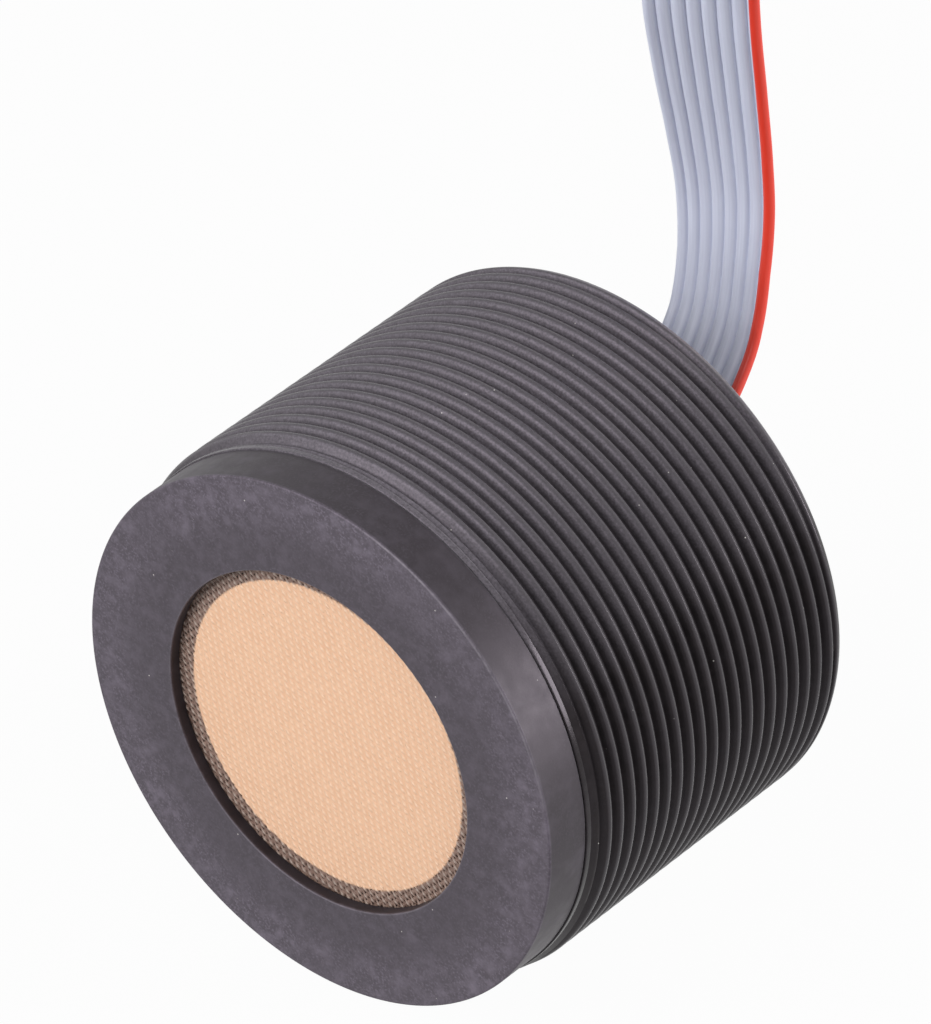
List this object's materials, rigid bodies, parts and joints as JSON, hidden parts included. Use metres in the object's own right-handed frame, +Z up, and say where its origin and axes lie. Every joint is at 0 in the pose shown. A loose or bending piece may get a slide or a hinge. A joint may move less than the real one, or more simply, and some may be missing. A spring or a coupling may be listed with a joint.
{
  "type": "ultrasonic sensor",
  "caption": "Short round ultrasonic distance sensor: threaded dark plastic sleeve, smooth front ring round a mesh-covered tan face, and a flat ribbon lead ending in a socket connector.",
  "frame": {"origin": "on the housing's axis, at the front edge of the first full thread crest", "axes": "-Y out of the sensing face along the axis, +Z up as in the picture, +X to the right seen from the front"},
  "size_m": [0.0995, 0.1784, 0.0894],
  "materials": {
    "housing": "semi-matt, darker in the roots",
    "front_ring": "matt, faintly mottled",
    "woven_mesh": "fine woven monofilament",
    "matching_layer": "matt",
    "piezo": "fired ceramic, matt",
    "soft_foam": "matt closed-cell foam",
    "damping": "cast, matt",
    "cup_plastic": "matt",
    "seal_rubber": "matt",
    "red_insulation": "satin",
    "black_insulation": "satin",
    "natural_plastic": "satin",
    "board": "varnished glass-fibre board",
    "ferrite": "pressed ferrite, matt",
    "copper": "enamelled copper wire",
    "chip_plastic": "matt",
    "tinned_metal": "tinned",
    "can_metal": "drawn and plated",
    "capacitor_sleeve": "shrunk sleeve",
    "chip_capacitor": "matt",
    "thermistor_bead": "dipped",
    "ribbon_insulation": "satin, light blue-grey with one red edge",
    "connector_plastic": "satin",
    "contact_metal": "plated"
  },
  "bodies": {
    "root": {"threaded_sleeve": "housing", "front_ring": "front_ring", "face_mesh": "woven_mesh", "matching_layer": "matching_layer", "piezo_disc": "piezo", "decoupling_ring": "soft_foam", "damping_block": "damping", "transducer_cup": "cup_plastic", "flange_gasket": "seal_rubber", "signal_lead": "red_insulation", "ground_lead": "black_insulation", "spacer_tube": "natural_plastic", "circuit_board": "board", "transformer_core": "ferrite", "transformer_bobbin": "natural_plastic", "transformer_winding": "copper", "control_chip": "chip_plastic", "amplifier_chip": "chip_plastic", "chip_pins": "tinned_metal", "quartz_crystal": "can_metal", "storage_capacitor": "capacitor_sleeve", "chip_capacitors": "chip_capacitor", "chip_resistors": "chip_plastic", "thermistor": "thermistor_bead", "ribbon_wire_ends": "tinned_metal", "rear_cover": "housing", "cable_grommet": "seal_rubber", "ribbon_cable": "ribbon_insulation", "connector_body": "connector_plastic", "connector_bar": "connector_plastic", "connector_contacts": "contact_metal"}
  },
  "joints": []
}
